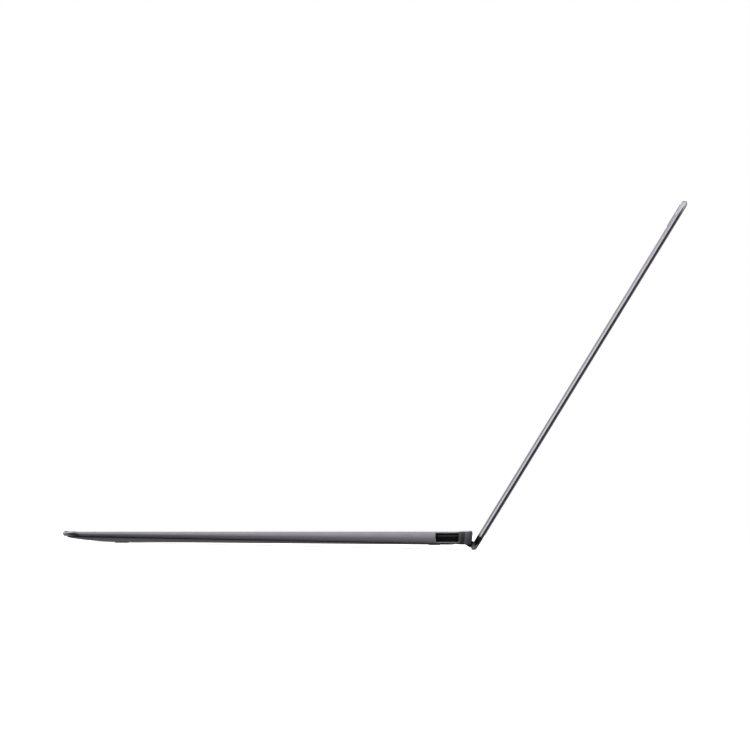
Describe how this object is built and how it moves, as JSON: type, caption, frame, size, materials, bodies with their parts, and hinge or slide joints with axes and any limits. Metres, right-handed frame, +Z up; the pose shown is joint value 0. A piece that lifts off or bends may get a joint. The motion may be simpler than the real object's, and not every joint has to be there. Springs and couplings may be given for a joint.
{
  "type": "laptop computer",
  "caption": "Thin clamshell laptop computer, open, with a metal case, island keyboard, touchpad, glass display and a hinge that lifts the rear edge off the desk.",
  "frame": {"origin": "on the desk, under the centre of the open laptop's bounding box", "axes": "+X to the user's right, +Y from the front edge towards the hinge, +Z up from the desk"},
  "size_m": [0.304, 0.3272, 0.1884],
  "materials": {
    "shell": "satin",
    "cover": "satin",
    "key": "matte",
    "frame": "matte",
    "display_glass": "gloss",
    "touch_glass": "satin",
    "rubber": "matte",
    "steel": "satin",
    "copper": "satin",
    "board": "satin",
    "inner_plastic": "matte"
  },
  "bodies": {
    "base": {"top_case": "shell", "bottom_cover": "cover", "foot_front_left": "rubber", "foot_front_right": "rubber", "foot_rear_left": "rubber", "foot_rear_right": "rubber", "keyboard_frame": "frame", "keyboard_plate": "steel", "touchpad_bracket": "steel", "usb_a_port": "steel", "usb_c_port_rear": "steel", "usb_c_port_front": "steel", "audio_jack": "inner_plastic", "mainboard": "board", "storage_drive": "inner_plastic", "heat_pipe": "copper", "battery": "inner_plastic", "speaker_left": "inner_plastic", "speaker_right": "inner_plastic", "fan_housing_left": "inner_plastic", "fan_housing_right": "inner_plastic", "bottom_screw_1": "steel", "bottom_screw_2": "steel", "bottom_screw_3": "steel", "bottom_screw_4": "steel", "hinge_bracket_left": "steel", "hinge_bracket_right": "steel"},
    "lid": {"lid_cover": "shell", "display_glass": "display_glass", "display_panel": "inner_plastic", "webcam_module": "board", "lid_bumper": "rubber", "hinge_cover": "frame", "hinge_shaft_left": "steel", "hinge_shaft_right": "steel", "lid_pad_left": "rubber", "lid_pad_right": "rubber"},
    "touchpad": {"touchpad": "touch_glass"},
    "power_button": {"power_button": "shell"},
    "fan_left": {"fan_rotor_left": "inner_plastic"},
    "fan_right": {"fan_rotor_right": "inner_plastic"},
    "left_modifier_keys": {"left_modifier_keys": "key"},
    "space_bar": {"space_bar": "key"},
    "right_modifier_keys": {"right_modifier_keys": "key"},
    "arrow_left_key": {"arrow_left_key": "key"},
    "arrow_down_key": {"arrow_down_key": "key"},
    "arrow_up_key": {"arrow_up_key": "key"},
    "arrow_right_key": {"arrow_right_key": "key"},
    "left_shift_key": {"left_shift_key": "key"},
    "lower_row_keys": {"lower_row_keys": "key"},
    "right_shift_key": {"right_shift_key": "key"},
    "caps_lock_key": {"caps_lock_key": "key"},
    "home_row_keys": {"home_row_keys": "key"},
    "enter_key": {"enter_key": "key"},
    "tab_key": {"tab_key": "key"},
    "upper_row_keys": {"upper_row_keys": "key"},
    "number_row_keys": {"number_row_keys": "key"},
    "backspace_key": {"backspace_key": "key"},
    "function_row_keys": {"function_row_keys": "key"}
  },
  "joints": [
    {"name": "lid_hinge", "type": "hinge", "parent": "base", "child": "lid", "pos_m": [0, 0.05017, 0.00654], "axis": [-1, 0, 0], "range_deg": [-121.5, 13.5]},
    {"name": "touchpad_click", "type": "hinge", "parent": "base", "child": "touchpad", "pos_m": [0, -0.07646, 0.00672], "axis": [1, 0, 0], "range_deg": [0, 0.25], "stiffness_Nm_per_rad": 20},
    {"name": "power_press", "type": "slide", "parent": "base", "child": "power_button", "axis": [0, 0.021, -0.9998], "range_m": [0, 0.0004], "stiffness_N_per_m": 1500},
    {"name": "fan_left_spin", "type": "hinge", "parent": "base", "child": "fan_left", "pos_m": [-0.094, 0.01049, 0.00505], "axis": [0, -0.021, 0.9998], "continuous": true},
    {"name": "fan_right_spin", "type": "hinge", "parent": "base", "child": "fan_right", "pos_m": [0.094, 0.01049, 0.00505], "axis": [0, -0.021, 0.9998], "continuous": true},
    {"name": "left_modifier_press", "type": "slide", "parent": "base", "child": "left_modifier_keys", "axis": [0, 0.021, -0.9998], "range_m": [0, 0.0012], "stiffness_N_per_m": 800},
    {"name": "space_bar_press", "type": "slide", "parent": "base", "child": "space_bar", "axis": [0, 0.021, -0.9998], "range_m": [0, 0.0012], "stiffness_N_per_m": 400},
    {"name": "right_modifier_press", "type": "slide", "parent": "base", "child": "right_modifier_keys", "axis": [0, 0.021, -0.9998], "range_m": [0, 0.0012], "stiffness_N_per_m": 600},
    {"name": "arrow_left_press", "type": "slide", "parent": "base", "child": "arrow_left_key", "axis": [0, 0.021, -0.9998], "range_m": [0, 0.0012], "stiffness_N_per_m": 400},
    {"name": "arrow_down_press", "type": "slide", "parent": "base", "child": "arrow_down_key", "axis": [0, 0.021, -0.9998], "range_m": [0, 0.0012], "stiffness_N_per_m": 400},
    {"name": "arrow_up_press", "type": "slide", "parent": "base", "child": "arrow_up_key", "axis": [0, 0.021, -0.9998], "range_m": [0, 0.0012], "stiffness_N_per_m": 400},
    {"name": "arrow_right_press", "type": "slide", "parent": "base", "child": "arrow_right_key", "axis": [0, 0.021, -0.9998], "range_m": [0, 0.0012], "stiffness_N_per_m": 400},
    {"name": "left_shift_press", "type": "slide", "parent": "base", "child": "left_shift_key", "axis": [0, 0.021, -0.9998], "range_m": [0, 0.0012], "stiffness_N_per_m": 400},
    {"name": "lower_row_press", "type": "slide", "parent": "base", "child": "lower_row_keys", "axis": [0, 0.021, -0.9998], "range_m": [0, 0.0012], "stiffness_N_per_m": 1400},
    {"name": "right_shift_press", "type": "slide", "parent": "base", "child": "right_shift_key", "axis": [0, 0.021, -0.9998], "range_m": [0, 0.0012], "stiffness_N_per_m": 400},
    {"name": "caps_lock_press", "type": "slide", "parent": "base", "child": "caps_lock_key", "axis": [0, 0.021, -0.9998], "range_m": [0, 0.0012], "stiffness_N_per_m": 400},
    {"name": "home_row_press", "type": "slide", "parent": "base", "child": "home_row_keys", "axis": [0, 0.021, -0.9998], "range_m": [0, 0.0012], "stiffness_N_per_m": 1500},
    {"name": "enter_press", "type": "slide", "parent": "base", "child": "enter_key", "axis": [0, 0.021, -0.9998], "range_m": [0, 0.0012], "stiffness_N_per_m": 400},
    {"name": "tab_press", "type": "slide", "parent": "base", "child": "tab_key", "axis": [0, 0.021, -0.9998], "range_m": [0, 0.0012], "stiffness_N_per_m": 400},
    {"name": "upper_row_press", "type": "slide", "parent": "base", "child": "upper_row_keys", "axis": [0, 0.021, -0.9998], "range_m": [0, 0.0012], "stiffness_N_per_m": 1700},
    {"name": "number_row_press", "type": "slide", "parent": "base", "child": "number_row_keys", "axis": [0, 0.021, -0.9998], "range_m": [0, 0.0012], "stiffness_N_per_m": 1700},
    {"name": "backspace_press", "type": "slide", "parent": "base", "child": "backspace_key", "axis": [0, 0.021, -0.9998], "range_m": [0, 0.0012], "stiffness_N_per_m": 400},
    {"name": "function_row_press", "type": "slide", "parent": "base", "child": "function_row_keys", "axis": [0, 0.021, -0.9998], "range_m": [0, 0.0012], "stiffness_N_per_m": 1900}
  ]
}
